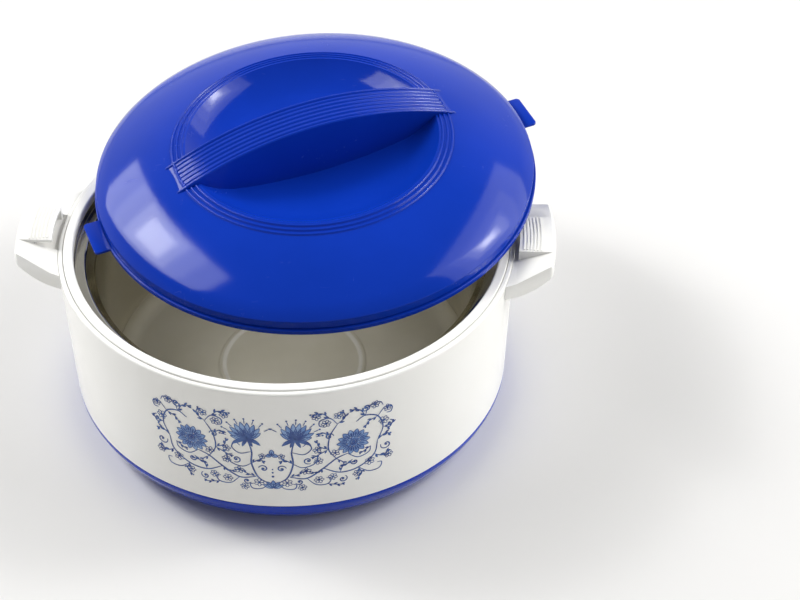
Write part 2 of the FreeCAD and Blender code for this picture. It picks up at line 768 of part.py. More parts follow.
def make_lid_cover():
    """Blue outer cover: the dome with its dish, and a ribbed bar left across the dish."""
    piece = new_body("lid_cover")
    foot = size.flange_thick + size.seat
    groove_top = foot + size.lid_groove
    surface, arcs = dome_outline(ZERO)
    below = [
        (ZERO, foot),
        (groove_radius, foot),
        (groove_radius, groove_top),
        (cover_radius, groove_top),
    ]
    shifted = {index + len(below): radius for index, radius in arcs.items()}
    turned(piece, "dome", [(below + surface, shifted)])
    corners, bends = bar_outline(ZERO, size.dish_height - size.cover_wall)
    across_y(piece, "grip_bar", corners, bends, size.bar_width)
    rings = []
    for index in range(int(size.ring_count.value)):
        outer = ring_outer - size.ring_pitch * index
        slope = (size.dish_edge_height - size.dome_height) / (dome_radius - size.dish_radius)
        base = size.dome_height + (dome_radius - outer) * slope
        ring = [
            (outer - size.ring_width, base - size.ring_rise),
            (outer, base - size.ring_rise),
            (outer, base + size.ring_rise / 2),
            (outer - size.ring_width / 3, base + size.ring_rise),
            (outer - size.ring_width * 2 / 3, base + size.ring_rise + size.ring_width / 3 * slope),
            (outer - size.ring_width, base + size.ring_rise / 2 + size.ring_width * slope),
        ]
        rings.append((ring, None))
    turned(piece, "rings", rings)
    for name, reach, rise, width, count in (
        ("bar_rib", ring_outer - size.ring_width, size.bar_rib_rise, size.bar_rib_width,
         int(size.bar_rib_count.value)),
        ("bar_edge", ring_outer + size.bar_edge_run, size.bar_edge_rise,
         size.bar_edge_width, 2),
    ):
        span = size.bar_width - width
        corners, bends = arch_band(reach, rise)
        rib = across_y(piece, name, corners, bends, width, lift=span / 2)
        document.recompute()
        row = piece.newObject("PartDesign::LinearPattern", name + "_row")
        row.Originals = [rib]
        row.Direction = (origin_feature(piece, "Y_Axis"), [""])
        row.Occurrences = count
        bind(row, "Length", span)
        piece.Tip = row
        document.recompute()
    inside, arcs = dome_outline(size.cover_wall)
    room = [(ZERO, foot - size.cover_wall), (cover_radius - size.cover_wall, foot - size.cover_wall)]
    shifted = {index + len(room): radius for index, radius in arcs.items()}
    hollow = turned(piece, "hollow", [(room + inside, shifted)], cut=True)
    corners, bends = bar_outline(size.cover_wall, foot)
    bar_room = across_y(
        piece, "bar_hollow", corners, bends, size.bar_width - size.cover_wall * 2, cut=True)
    cuts(piece, hollow, bar_room)
    return piece


def make_lid_insulation():
    """Foam between the cover and the liner."""
    piece = new_body("lid_insulation")
    inset = size.cover_wall + size.fit
    spigot_inside = spigot_radius - size.spigot_wall - size.fit
    bottom = liner_outline(size.liner_wall + size.fit)
    middle = [(ZERO, bottom[0][1]), bottom[1], bottom[2]]
    step = size.flange_thick + size.seat + size.liner_lip + size.fit
    surface, arcs = dome_outline(inset)
    above_spigot = size.flange_thick + size.spigot_rise + size.fit
    rest_corners = [
        (liner_side - size.liner_wall - size.fit, step),
        (spigot_inside, step),
        (spigot_inside, above_spigot),
        (cover_radius - inset, above_spigot),
    ]
    before = middle + rest_corners
    shifted = {index + len(before): radius for index, radius in arcs.items()}
    turned(piece, "foam_disc", [(before + surface, shifted)])
    corners, bends = bar_outline(inset, step)
    across_y(piece, "foam_bar", corners, bends, size.bar_width - inset * 2)
    return piece


def make_lid_seal():
    """Silicone ring under the flange, stretched round the liner's side."""
    piece = new_body("lid_seal")
    inside = liner_side + size.fit
    top = -size.fit
    corners = [
        (inside, top - size.seal_thick),
        (seal_radius, top - size.seal_thick),
        (seal_radius, top),
        (inside, top),
    ]
    turned(piece, "seal_ring", [(corners, None)])
    return piece


# The lid's place: level round its own axis, turned by its spin, tilted and set on the rim.


def lid_placement():
    """Where the lid lies: taken off, turned free of the handles and leaning on the rim."""
    rise_way = math.radians(size.lid_tilt_bearing.value)
    tilt_axis = FreeCAD.Vector(math.sin(rise_way), -math.cos(rise_way), 0)
    tilt = FreeCAD.Rotation(tilt_axis, size.lid_tilt.value)
    spin = FreeCAD.Rotation(FreeCAD.Vector(0, 0, 1), size.lid_spin.value)
    offset_way = math.radians(size.lid_bearing.value)
    place = FreeCAD.Vector(
        size.lid_offset.value * math.cos(offset_way),
        size.lid_offset.value * math.sin(offset_way),
        size.body_height.value + size.lid_rise.value,
    )
    return FreeCAD.Placement(place, tilt.multiply(spin))


left_handle = make_handle("left_handle")
left_handle.Placement = FreeCAD.Placement(
    FreeCAD.Vector(0, 0, 0), FreeCAD.Rotation(FreeCAD.Vector(0, 0, 1), 180))
pot = [
    make_outer_shell(),
    make_rim_collar(),
    make_base_cup(),
    make_inner_bowl(),
    make_body_insulation(),
    make_plug("base_plug", size.base_recess, size.base_wall),
    make_handle("right_handle"),
    left_handle,
]
lid = [
    make_lid_cover(),
    make_lid_liner(),
    make_lid_flange(),
    make_lid_insulation(),
    make_lid_seal(),
    make_plug("lid_plug", -size.liner_pan_depth, size.liner_wall),
]
for piece in lid:
    piece.Placement = lid_placement()
document.recompute()

# Checks, then one file for each piece.

for thing in document.Objects:
    if "Invalid" in thing.State or "Error" in thing.State:
        raise RuntimeError("%s failed: %s" % (thing.Label, thing.State))
os.makedirs("parts", exist_ok=True)
for piece in pot + lid:
    shape = piece.Shape
    if shape.isNull() or not shape.isValid() or len(shape.Solids) != 1:
        raise RuntimeError("%s is not one valid solid" % piece.Label)
    print("%-16s %9.1f mm3" % (piece.Label, shape.Volume))
for piece in pot + lid:
    piece.Shape.exportStep("parts/%s.step" % piece.Label)
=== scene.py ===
import json
import math

import bmesh
import bpy
import numpy as np
from mathutils import Matrix, Vector


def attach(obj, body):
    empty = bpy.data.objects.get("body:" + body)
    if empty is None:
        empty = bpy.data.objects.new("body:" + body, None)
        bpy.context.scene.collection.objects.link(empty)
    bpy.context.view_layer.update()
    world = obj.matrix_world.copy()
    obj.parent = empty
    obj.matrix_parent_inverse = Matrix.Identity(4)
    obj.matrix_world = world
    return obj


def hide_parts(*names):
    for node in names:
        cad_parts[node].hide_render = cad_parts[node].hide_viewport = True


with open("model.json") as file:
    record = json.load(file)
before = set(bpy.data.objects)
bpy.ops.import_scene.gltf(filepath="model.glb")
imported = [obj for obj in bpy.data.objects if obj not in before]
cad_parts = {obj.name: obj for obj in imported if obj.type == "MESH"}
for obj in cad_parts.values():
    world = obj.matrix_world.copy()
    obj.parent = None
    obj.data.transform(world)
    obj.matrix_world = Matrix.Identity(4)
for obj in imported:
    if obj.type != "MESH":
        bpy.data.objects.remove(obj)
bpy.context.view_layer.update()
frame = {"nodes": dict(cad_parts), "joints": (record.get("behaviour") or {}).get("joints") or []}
mm = 0.001


# Inner bowl.
# One sheet of stainless steel, pressed to a floor with a raised ring, a tapering wall, a ledge
# and a lip. The wall is polished and the floor satin. The floor's lighter tone and its partly
# non-metal shading are painted light, and the ring's shine is a painted highlight, a near-white
# colour on the ring.


def softened(corners, radii, closed, steps=6, margin=0.15):
    """An outline with round corners. At each corner the two sides are cut back by the radius
    over the tangent of half their angle, and an arc of the radius that touches both sides
    joins the cuts. One more point beyond each end of the arc keeps the flat next to it flat.
    """
    corners = np.array(corners, float)
    count = len(corners)
    pieces = []
    for index in range(count):
        here = corners[index]
        if radii[index] == 0 or not (closed or 0 < index < count - 1):
            pieces.append(here[None])
            continue
        back = corners[index - 1] - here
        ahead = corners[(index + 1) % count] - here
        back_length, ahead_length = np.linalg.norm(back), np.linalg.norm(ahead)
        back, ahead = back / back_length, ahead / ahead_length
        half = math.acos(np.clip(back @ ahead, -1, 1)) / 2
        cut = min(radii[index] / math.tan(half), 0.48 * back_length, 0.48 * ahead_length)
        radius = cut * math.tan(half)
        middle = here + (back + ahead) / np.linalg.norm(back + ahead) * radius / math.sin(half)
        first, last = here + back * cut - middle, here + ahead * cut - middle
        sweep = math.pi - 2 * half
        share = np.linspace(0, 1, steps + 1)[:, None]
        arc = (np.sin((1 - share) * sweep) * first + np.sin(share * sweep) * last) / math.sin(sweep)
        spare = min(margin, 0.4 * (back_length - cut), 0.4 * (ahead_length - cut))
        before = here + back * (cut + spare)
        after = here + ahead * (cut + spare)
        pieces.append(np.vstack([before[None], middle + arc, after[None]]))
    return np.vstack(pieces)


def mesh_piece(name, points, faces, sharp_angle=32):
    """A mesh object from points in millimetres and faces given as rows of point numbers.

    Edges sharper than sharp_angle degrees stay crisp and the others are shaded smooth."""
    mesh = bpy.data.meshes.new(name)
    mesh.from_pydata((points * mm).tolist(), [], [list(face) for face in faces])
    mesh.validate()
    mesh.polygons.foreach_set("use_smooth", np.ones(len(mesh.polygons), bool))
    mesh.set_sharp_from_angle(angle=math.radians(sharp_angle))
    mesh.update()
    piece = bpy.data.objects.new(name, mesh)
    bpy.context.scene.collection.objects.link(piece)
    return piece


def ring_faces(rows, columns, close_rows):
    """Quads between neighbouring rows of a grid whose columns run round and meet themselves."""
    last = rows if close_rows else rows - 1
    row, column = np.meshgrid(np.arange(last), np.arange(columns), indexing="ij")
    below, right = (row + 1) % rows, (column + 1) % columns
    corners = [
        row * columns + column,
        row * columns + right,
        below * columns + right,
        below * columns + column,
    ]
    return np.stack(corners, -1).reshape(-1, 4)


def turned_points(outline, segments=288):
    """Points and faces of an outline of (radius, height) turned once round Z.

    Each point goes to (radius cos a, radius sin a, height) for equal steps of the angle a. An
    outline that starts and ends on the axis gets one point at each pole; any other outline is
    a closed loop. The outline runs so that the solid is on its left."""
    angles = np.arange(segments) * 2 * np.pi / segments
    poles = outline[0][0] == 0
    middle = outline[1:-1] if poles else outline
    radius, height = middle[:, :1], middle[:, 1:]
    grid = np.stack(
        [radius * np.cos(angles), radius * np.sin(angles), height + 0 * angles], -1
    )
    points = grid.reshape(-1, 3)
    faces = ring_faces(len(middle), segments, not poles).tolist()
    if poles:
        first, last = len(points), len(points) + 1
        points = np.vstack([points, [[0, 0, outline[0][1]], [0, 0, outline[-1][1]]]])
        step = np.arange(segments)
        after = (step + 1) % segments
        final = (len(middle) - 1) * segments
        faces += np.stack([after, step, np.full(segments, first)], -1).tolist()
        faces += np.stack([final + step, final + after, np.full(segments, last)], -1).tolist()
    return points, faces


def turned(name, outline, segments=288):
    """One closed solid of revolution round the pot's axis."""
    points, faces = turned_points(outline, segments)
    return mesh_piece(name, points, faces)


class Field:
    """A value that changes over a surface. Arithmetic on it adds Math nodes to its finish."""

    def __init__(self, finish, socket):
        self.finish = finish
        self.socket = socket

    def math(self, operation, *values):
        return self.finish.node("ShaderNodeMath", {"operation": operation}, *values)

    def __add__(self, other):
        return self.math("ADD", self, other)

    def __sub__(self, other):
        return self.math("SUBTRACT", self, other)

    def __mul__(self, other):
        return self.math("MULTIPLY", self, other)

    def __rsub__(self, other):
        return self.math("SUBTRACT", other, self)

    __radd__ = __add__
    __rmul__ = __mul__

    def ramp(self, low, high):
        """0 below low, 1 above high, and a smooth rise between them."""
        kind = {"interpolation_type": "SMOOTHSTEP"}
        return self.finish.node("ShaderNodeMapRange", kind, self, low, high)


class Finish:
    """A material round one Principled shader, whose uniform values are given by name."""

    def __init__(self, name, **uniform):
        self.material = bpy.data.materials.new(name)
        self.material.use_nodes = True
        self.nodes = self.material.node_tree.nodes
        self.links = self.material.node_tree.links
        self.shader = self.nodes["Principled BSDF"]
        for socket, value in uniform.items():
            self.shader.inputs[socket.replace("_", " ")].default_value = value

    def node(self, kind, settings, *values, output=0, **named):
        """Any node: its settings first, then the values or links of its sockets."""
        made = self.nodes.new(kind)
        for key, value in settings.items():
            setattr(made, key, value)
        for socket, value in zip(made.inputs, values):
            self.feed(socket, value)
        for key, value in named.items():
            self.feed(made.inputs[key.replace("_", " ")], value)
        return Field(self, made.outputs[output])

    def feed(self, socket, value):
        if isinstance(value, Field):
            self.links.new(value.socket, socket)
        elif value is not None:
            socket.default_value = value

    def set(self, **fields):
        for key, value in fields.items():
            self.feed(self.shader.inputs[key.replace("_", " ")], value)

    def place(self):
        """The point on the surface, in the object's own metres."""
        return self.node("ShaderNodeTexCoord", {}, output=3)

    def noise(self, point, scale, detail=3.0, roughness=0.5):
        """Noise between 0 and 1 with scale features to a metre."""
        return self.node(
            "ShaderNodeTexNoise", {}, Vector=point, Scale=scale, Detail=detail, Roughness=roughness
        )

    def stretched(self, point, x, y, z):
        """The point with each of its directions scaled, to draw a pattern out into streaks."""
        return self.node("ShaderNodeMapping", {}, Vector=point, Scale=(x, y, z))

    def mixed(self, share, first, second):
        """One colour going over into another."""
        made = self.nodes.new("ShaderNodeMix")
        made.data_type = "RGBA"
        self.feed(made.inputs[0], share)
        self.feed(made.inputs[6], first)
        self.feed(made.inputs[7], second)
        return Field(self, made.outputs[2])

    def bumped(self, height, distance, strength=1.0):
        """A normal that tilts as if the height, times distance in metres, were real."""
        return self.node(
            "ShaderNodeBump", {}, Height=height, Distance=distance, Strength=strength
        )


def dress(piece, body, node, finish):
    """Give a finished piece its material and its body, and hide the CAD node that it stands for."""
    piece.data.materials.append(finish.material)
    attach(piece, body)
    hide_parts(node)
    return piece


bowl_inside = [
    (0, 10.6),
    (39.7, 10.6),
    (40.9, 11.5),
    (42.7, 11.5),
    (43.9, 10.6),
    (103.0, 10.6),
    (107.4, 91.5),
    (112.6, 97.0),
    (118.5, 97.0),
    (118.5, 101.6),
    (122.0, 101.6),
]
bowl_outside = [
    (122.0, 100.8),
    (119.3, 100.8),
    (119.3, 96.2),
    (113.0, 96.2),
    (108.2, 91.3),
    (104.0, 9.8),
    (43.9, 9.8),
    (42.7, 10.7),
    (40.9, 10.7),
    (39.7, 9.8),
    (0, 9.8),
]
inside_radii = [0, 1.6, 1.2, 1.2, 1.6, 10.5, 3.0, 2.5, 0.5, 0.9, 0]
outside_radii = [0, 0.3, 0.5, 2.5, 3.0, 11, 0.8, 0.8, 0.8, 0.8, 0]
bowl_outline = softened(bowl_inside + bowl_outside, inside_radii + outside_radii, False)
steel = Finish("polished_steel")
where = steel.place()
polish = steel.noise(steel.stretched(where, 1, 1, 26), 90, 5.0, 0.6)
height = steel.node("ShaderNodeSeparateXYZ", {}, where, output=2)
floor_level, wall_start = 0.010, 0.022
# Painted light: on the floor the tone is lighter and the metal partly diffuse, so it reads brighter
# than the wall; the added roughness is the floor's real satin.
satin_floor_painted_light = 1.0 - height.ramp(floor_level, wall_start)
haze = steel.noise(where, 22, 3.0)
from_axis = steel.node("ShaderNodeVectorMath", {"operation": "LENGTH"}, where, output=1)
within, beyond = from_axis.ramp(0.0400, 0.0410), from_axis.ramp(0.0425, 0.0436)
# Painted highlight: the raised ring on the floor gets a near-white colour for its shine.
painted_ring_highlight = within * (1.0 - beyond) * satin_floor_painted_light
wall_tone = steel.mixed(haze.ramp(0.3, 0.7), (0.60, 0.57, 0.48, 1), (0.68, 0.65, 0.56, 1))
# Painted light: a much lighter tone for the floor than for the wall of the same steel.
painted_light_floor_tone = steel.mixed(haze.ramp(0.3, 0.7), (0.80, 0.77, 0.66, 1), (0.87, 0.84, 0.74, 1))
steel.set(
    Base_Color=steel.mixed(
        painted_ring_highlight, steel.mixed(satin_floor_painted_light, wall_tone, painted_light_floor_tone), (0.96, 0.95, 0.90, 1)
    ),
    # Painted light: the floor is made partly non-metal so that it reads brighter.
    Metallic=1.0 - satin_floor_painted_light * 0.55,
    Roughness=0.13 + satin_floor_painted_light * 0.30 + polish * 0.08 + haze * 0.05,
    Normal=steel.bumped(polish, 0.00006, 0.35),
)
dress(turned("steel_bowl", bowl_outline[::-1]), "pot", "inner_bowl", steel)


# Rim collar.
# A white ring with rounded edges, pushed down into the shell, where it clamps the bowl's lip.
# It forms the mouth of the pot, and a fine groove parts it from the shell's shoulder.

collar_outline = softened(
    [
        (118.4, 101.7),
        (121.5, 101.7),
        (121.5, 99.8),
        (123.9, 99.8),
        (123.9, 106.3),
        (118.4, 106.3),
    ],
    [0.2, 0, 0.2, 0.2, 0.7, 1.3],
    True,
)


def white_plastic(name, mottle):
    """White gloss plastic: hardly visible clouds of tone, and the fine orange peel that a
    polished mould leaves. mottle sets how many clouds there are to a metre."""
    finish = Finish(name, IOR=1.46)
    point = finish.place()
    cloud = finish.noise(point, mottle, 3.0)
    peel = finish.noise(point, 420, 2.0)
    dust = finish.noise(point, 1900, 1.0)
    finish.set(
        Base_Color=finish.mixed(
            cloud.ramp(0.3, 0.7), (0.91, 0.90, 0.85, 1), (0.94, 0.935, 0.90, 1)
        ),
        Roughness=0.13 + cloud * 0.08 + dust * 0.05,
        Normal=finish.bumped(peel, 0.00003, 0.30),
    )
    return finish


collar_white = white_plastic("collar_white", 14)
dress(turned("collar", collar_outline), "pot", "rim_collar", collar_white)


# Outer shell.
# A white tube, a little wider at the top, with a rounded shoulder under the rim.
# It snaps over the base's spigot, and its front carries the print of the next section.

wall_top, wall_foot, seam_height = 126.8, 125.0, 20.5
shell_outline = softened(
    [
        (122.5, seam_height),
        (wall_foot, seam_height),
        (wall_top, 105.5),
        (124.2, 105.5),
        (124.2, 99.5),
        (122.3, 99.5),
        (122.3, 97.7),
        (124.3, 95.7),
    ],
    [0, 0.5, 2.6, 0.2, 0, 0, 0, 0],
    True,
    steps=8,
)
shell_white = white_plastic("shell_white", 9)
dress(turned("shell", shell_outline, 360), "pot", "outer_shell", shell_white)


# Print on the shell.
# A blue scroll of stems, leaves and open blossoms, the same on both sides of its middle, baked
# on as a film of ink. The dark lines lie on top of a paler wash that fills the petals.

print_middle_height = 63.0
wash_film, line_film = (0.02, 0.06), (0.03, 0.09)


def smooth_line(stops, count=28):
    """A line through the stops: between two of them a cubic whose slope at each stop is half
    the way from the stop before to the stop after."""
    stops = np.array(stops, float)
    padded = np.vstack([2 * stops[0] - stops[1], stops, 2 * stops[-1] - stops[-2]])
    along = np.linspace(0, len(stops) - 1, count)
    left = np.minimum(along.astype(int), len(stops) - 2)
    t = (along - left)[:, None]
    a, b, c, d = (padded[left + step] for step in range(4))
    return b + 0.5 * t * (c - a + t * (2 * a - 5 * b + 4 * c - d + t * (3 * (b - c) + d - a)))


def curl(centre, radius, start, turns, count=30, tail=0.15):
    """A spiral that winds in to its centre; its radius falls evenly to the share tail."""
    share = np.linspace(0, 1, count)
    angle = np.radians(start) + share * turns * 2 * np.pi
    reach = radius * (1 - share * (1 - tail))
    return np.array(centre) + np.stack([np.cos(angle), np.sin(angle)], -1) * reach[:, None]


def stroke(line, width):
    """The two edges of a stroke: the line moved to both sides by half its width there."""
    along = np.gradient(line, axis=0)
    along /= np.linalg.norm(along, axis=1)[:, None] + 1e-9
    side = np.stack([-along[:, 1], along[:, 0]], -1) * (width / 2)[:, None]
    return line + side, line - side


def tapered(line, width, ends=0.25):
    """A stem: full width in the middle and a share of it at both ends."""
    share = np.linspace(0, 1, len(line))
    return stroke(line, width * (ends + (1 - ends) * np.sin(np.pi * share) ** 0.6))


def leaf(base, angle, length, width, bend=0.0, count=12):
    """A leaf or petal: a line that bends evenly, with a width that grows as a sine and is
    pointed at the tip."""
    share = np.linspace(0, 1, count)
    turn = np.radians(angle + bend * share)
    step = np.stack([np.cos(turn), np.sin(turn)], -1) * length / (count - 1)
    line = np.array(base) + np.cumsum(step, axis=0) - step[0]
    return stroke(line, width * np.sin(np.pi * share**0.85) ** 0.75 + 0.02)


def dot(centre, size, count=9):
    """A round spot, as a stroke across it whose width follows a circle."""
    share = np.linspace(-1, 1, count)
    line = np.array(centre) + np.stack([share * size / 2, 0 * share], -1)
    return stroke(line, size * np.sqrt(np.maximum(1 - share**2, 0)) + 0.01)


def heading(angle):
    """A step of one millimetre at an angle in degrees."""
    return np.array([math.cos(math.radians(angle)), math.sin(math.radians(angle))])


def edge_lines(shape, width):
    """Thin strokes along both edges of a shape, for its outline."""
    return [tapered(shape[0], width, 0.5), tapered(shape[1], width, 0.5)]


wash, lines = [], []


def petal(base, angle, length, width, bend=0.0, veins=1):
    """One petal: a wash, its outline, and short veins from its root."""
    shape = leaf(base, angle, length, width, bend)
    wash.append(shape)
    lines.extend(edge_lines(shape, 0.46))
    for vein in range(veins):
        lean = (vein - (veins - 1) / 2) * 13
        lines.append(leaf(base, angle + lean, length * 0.66, 0.6, bend))


def blossom(centre, radius, petals, turn=0.0):
    """A small open flower: the outlines of its petals round a spot of ink."""
    for index in range(petals):
        angle = turn + index * 360 / petals
        root = np.array(centre) + heading(angle) * radius * 0.2
        lines.extend(edge_lines(leaf(root, angle, radius * 0.85, radius * 0.62), 0.42))
    lines.append(dot(centre, radius * 0.5))


def sprig(stops, leaves, size, side=1):
    """A thin stem with leaves set on it in turn to the left and the right, and a bud."""
    line = smooth_line(stops)
    lines.append(tapered(line, 0.62))
    for index in range(leaves):
        place = int((index + 0.6) * (len(line) - 1) / (leaves + 0.4))
        ahead = line[min(place + 1, len(line) - 1)] - line[max(place - 1, 0)]
        angle = math.degrees(math.atan2(ahead[1], ahead[0]))
        turn = side * (48 if index % 2 else -48)
        lines.append(leaf(line[place], angle + turn, size, size * 0.42, -turn * 0.5))
    lines.append(dot(line[-1], size * 0.42))


# The round flower head at each side, with two rings of petals.
head = np.array([43.5, 2.5])
outer_petals, inner_petals = 14, 9
for index in range(outer_petals):
    angle = index * 360 / outer_petals
    petal(head + heading(angle) * 3.6, angle, 5.6, 3.0, 0, 2)
for index in range(inner_petals):
    angle = 15 + index * 360 / inner_petals
    petal(head + heading(angle) * 1.2, angle, 3.0, 1.9, 0, 1)
lines.append(dot(head, 2.2))

# The cup-shaped blossom near the middle, leaning outwards on its stem.
cup = np.array([12.5, 9.5])
cup_angle = 76
cup_petals = [
    (0, 12.5, 3.4),
    (20, 12.0, 3.3),
    (42, 11.6, 3.2),
    (64, 11.0, 3.0),
    (84, 9.0, 2.6),
]
for lean, length, width in cup_petals:
    for turn in (-lean, lean) if lean else (0,):
        petal(cup, cup_angle + turn, length, width, -turn * 0.30, 2)
for lean in range(-70, 71, 20):
    way = heading(cup_angle + lean)
    lines.append(tapered(np.linspace(cup + way * 11.0, cup + way * 14.2, 6), 0.5))
    lines.append(dot(cup + way * 14.6, 1.1))
cup_leaves = [
    (-165, 8.5, 2.6, 35),
    (-15, 10.0, 2.8, -30),
    (-60, 7.0, 2.0, -10),
    (-120, 6.5, 2.0, 12),
]
for angle, length, width, bend in cup_leaves:
    lines.append(leaf(cup, angle, length, width, bend))

# Stems, tendrils and sprigs that join them.
stem_lines = [
    ([(2.5, -24), (8, -19), (11, -9), (10.5, 0), (12.5, 9.5)], 0.95),
    ([(9, -19), (18, -20.5), (27, -14), (34, -8), (40, -5.5)], 0.95),
    ([(27, -14), (36, -19), (46, -18), (55, -11), (57, -1)], 0.85),
    ([(57, -1), (60, 8), (57, 17), (50, 20), (45, 17)], 0.8),
    ([(34, -8), (30, 0), (31, 10), (35, 18)], 0.75),
    ([(35, 18), (31, 23), (26, 22), (25.5, 18.5), (28, 17)], 0.65),
    ([(57, 17), (61, 22), (65, 21), (64.5, 17.5), (62, 17.5)], 0.65),
    ([(46, -18), (52, -23), (58, -23), (59.5, -19), (57, -18)], 0.65),
    ([(18, -20.5), (23, -26), (29, -26.5), (31, -23), (28.5, -21.5)], 0.65),
    ([(10.5, 0), (17, -2), (21, 2), (19, 6), (16.5, 4)], 0.65),
    ([(2.5, -24), (6, -28), (11, -28.5), (12.5, -25.5), (10.5, -24.5)], 0.65),
    ([(11, -9), (16, -12), (22, -10), (24, -5), (21, -3)], 0.65),
    ([(40, -5.5), (46, -10), (52, -8), (53, -4)], 0.65),
    ([(50, 20), (52, 26), (58, 27), (60, 24)], 0.6),
]
for stops, width in stem_lines:
    lines.append(tapered(smooth_line(stops, 40), width, 0.4))
for centre, radius, start, turns in (
    ((62.0, -6.5), 3.4, 160, 1.1),
    ((19.0, -7.0), 2.6, -60, -1.2),
    ((50.5, 25.5), 2.6, 200, 1.2),
    ((37.5, -24.5), 2.6, 60, -1.2),
    ((4.8, -12.5), 2.6, 10, 1.2),
    ((30.5, 9.5), 2.4, 0, 1.2),
    ((44.0, -13.0), 2.4, 120, 1.2),
    ((64.0, 9.0), 2.2, 90, -1.1),
    ((14.0, -23.0), 2.2, 200, 1.1),
):
    lines.append(tapered(curl(centre, radius, start, turns), 0.75, 0.5))
    lines.append(dot(centre, 1.3))
sprigs = [
    ([(57, -1), (61, 2), (64.5, 1)], 4, 3.0),
    ([(55, -11), (60, -14), (64, -12)], 4, 3.0),
    ([(36, -19), (38, -14), (43, -13)], 3, 2.6),
    ([(31, 10), (27, 13), (25, 11.5)], 3, 2.6),
    ([(50, 20), (47, 25), (42, 26.5)], 5, 2.8),
    ([(11, -9), (7, -6), (4.0, -7)], 4, 2.6),
    ([(27, -14), (24, -17), (20, -15.5)], 3, 2.4),
    ([(35, 18), (39, 22), (38, 27)], 4, 2.8),
    ([(30, 0), (25, -3), (21.5, -5.5)], 4, 2.4),
    ([(30, 0), (25, 3), (24, 7.5)], 4, 2.6),
    ([(31, 23), (27, 27), (21, 27)], 5, 2.8),
    ([(46, -18), (48, -23), (45, -27)], 4, 2.6),
    ([(60, 8), (64, 6), (66, 10)], 4, 2.6),
    ([(34, -8), (38, -12), (37, -15)], 3, 2.4),
    ([(9, -19), (14, -17), (18, -14)], 4, 2.4),
    ([(53, -4), (50, -6), (47, -8)], 3, 2.4),
    ([(57, 17), (52, 15), (50, 11)], 4, 2.4),
    ([(29, -26.5), (34, -28), (38, -29)], 4, 2.4),
]
for side, (stops, leaves, length) in enumerate(sprigs):
    sprig(stops, leaves, length, 1 if side % 2 else -1)
for centre, radius, petals, turn in (
    ((29.0, 19.5), 2.6, 6, 10),
    ((60.5, 12.5), 2.9, 6, 0),
    ((52.5, -15.5), 2.9, 6, 25),
    ((24.5, -22.5), 2.7, 6, 0),
    ((33.5, -3.5), 2.6, 5, 40),
    ((18.0, -15.0), 2.6, 5, 20),
    ((7.5, -23.5), 2.9, 6, 30),
    ((24.0, 25.0), 2.4, 5, 60),
    ((55.5, 26.0), 2.6, 6, 10),
    ((63.5, -14.5), 2.6, 6, 0),
    ((24.5, -8.0), 2.5, 6, 15),
    ((24.0, 0.5), 2.4, 5, 30),
    ((32.0, -21.5), 2.5, 6, 45),
    ((62.5, 21.0), 2.4, 5, 20),
    ((45.5, -22.5), 2.5, 6, 5),
    ((35.5, 24.0), 2.4, 5, 0),
    ((15.5, -27.5), 2.4, 6, 10),
    ((5.0, -3.0), 2.0, 5, 18),
):
    blossom(centre, radius, petals, turn)
half_print = {"print_wash": list(wash), "print_lines": list(lines)}

# The pieces on the middle line itself: a five-petalled fan and a drop of dots.
wash, lines = [], []
for angle in (90, 54, 126, 24, 156):
    petal((0, -27.5), angle, 6.0, 2.6, 0, 1)
for height, size in ((-18.5, 1.5), (-15.5, 1.2), (-13.0, 0.9)):
    lines.append(dot((0, height), size))
for angle in (90, 210, 330):
    petal((0, -1.5), angle, 3.6, 2.4, 0, 1)
lines.append(dot((0, -1.5), 1.3))
middle_print = {"print_wash": wash, "print_lines": lines}


def wall_radius(height):
    """The shell's outside at a height: a straight line from its foot to its shoulder."""
    shoulder_height = 101.3
    share = (height - seam_height) / (shoulder_height - seam_height)
    return wall_foot + (wall_top - wall_foot) * share


def inked(name, shapes, film):
    """Lay flat strokes on the wall as thin closed films.

    A point (s, t) goes to the angle s over the wall's radius, from the middle of the front,
    and to the height t above the print's middle. Each stroke has four points at each step:
    two edges, each at the film's inner and outer radius."""
    points, faces, start = [], [], 0
    for left, right in shapes:
        count = len(left)
        corners = np.stack([left, right, right, left], 1)
        height = corners[..., 1] + print_middle_height
        radius = wall_radius(height) + np.array([film[1], film[1], film[0], film[0]])
        angle = corners[..., 0] / wall_top - np.pi / 2
        place = np.stack([radius * np.cos(angle), radius * np.sin(angle), height], -1)
        points.append(place.reshape(-1, 3))
        step, side = np.meshgrid(np.arange(count - 1), np.arange(4), indexing="ij")
        ahead = (side + 1) % 4
        quads = np.stack(
            [step * 4 + side, (step + 1) * 4 + side, (step + 1) * 4 + ahead, step * 4 + ahead], -1
        )
        faces += (quads.reshape(-1, 4) + start).tolist()
        final = start + (count - 1) * 4
        faces += [[start + side for side in (0, 1, 2, 3)], [final + side for side in (3, 2, 1, 0)]]
        start += count * 4
    return mesh_piece(name, np.vstack(points), faces)


def ink(name, pale, deep):
    """Ceramic ink: a little uneven in depth, glossy as the plastic under it."""
    finish = Finish(name, IOR=1.46)
    point = finish.place()
    depth = finish.noise(point, 260, 3.0)
    finish.set(
        Base_Color=finish.mixed(depth.ramp(0.32, 0.66), pale, deep),
        Roughness=0.18 + depth * 0.08,
    )
    return finish


inks = {
    "print_wash": (ink("ink_wash", (0.32, 0.47, 0.72, 1), (0.12, 0.25, 0.56, 1)), wash_film),
    "print_lines": (ink("ink_line", (0.05, 0.13, 0.38, 1), (0.015, 0.05, 0.24, 1)), line_film),
}
for name, (finish, film) in inks.items():
    mirrored = [(right * (-1, 1), left * (-1, 1)) for left, right in half_print[name]]
    piece = inked(name, half_print[name] + mirrored + middle_print[name], film)
    piece.data.materials.append(finish.material)
    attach(piece, "pot")


# Foam.
# Rigid yellowish foam fills the space between bowl, base and shell, and the lid's inside.
# It can't be seen once the pieces are joined, so the solids' own shapes are kept.

